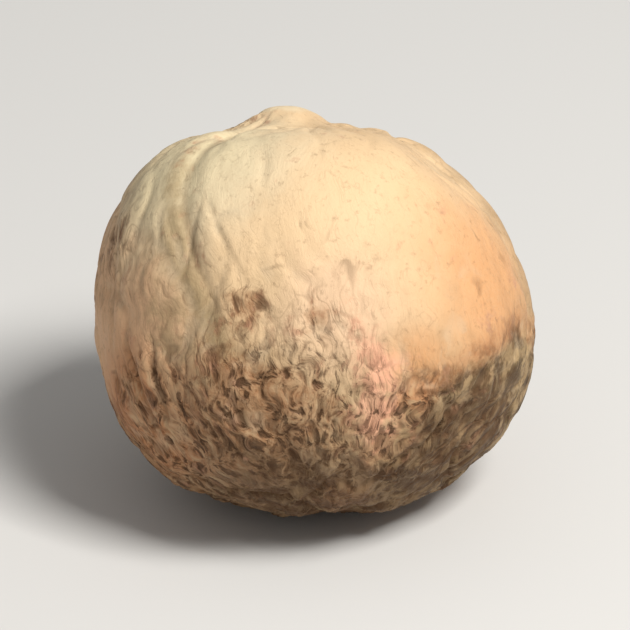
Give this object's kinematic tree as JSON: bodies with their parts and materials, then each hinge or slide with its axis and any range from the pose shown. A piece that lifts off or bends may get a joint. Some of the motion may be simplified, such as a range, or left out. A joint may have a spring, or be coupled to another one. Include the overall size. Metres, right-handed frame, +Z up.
{
  "type": "whole nutmeg",
  "caption": "Whole dried nutmeg kernel: an uneven, squarish oval seed with lengthwise wrinkles, a low boss at one end and a groove down one side, lying on its lower flank.",
  "frame": {"origin": "centre of the part's box seen from above, at the level of the surface it rests on", "axes": "+Z up, +X to the right seen from the front, +Y away from the front; the boss end leans back towards +Y and a little towards -X"},
  "size_m": [0.0236, 0.0218, 0.0218],
  "materials": {
    "nutmeg": null
  },
  "bodies": {
    "root": {"nutmeg": "nutmeg"}
  },
  "joints": []
}
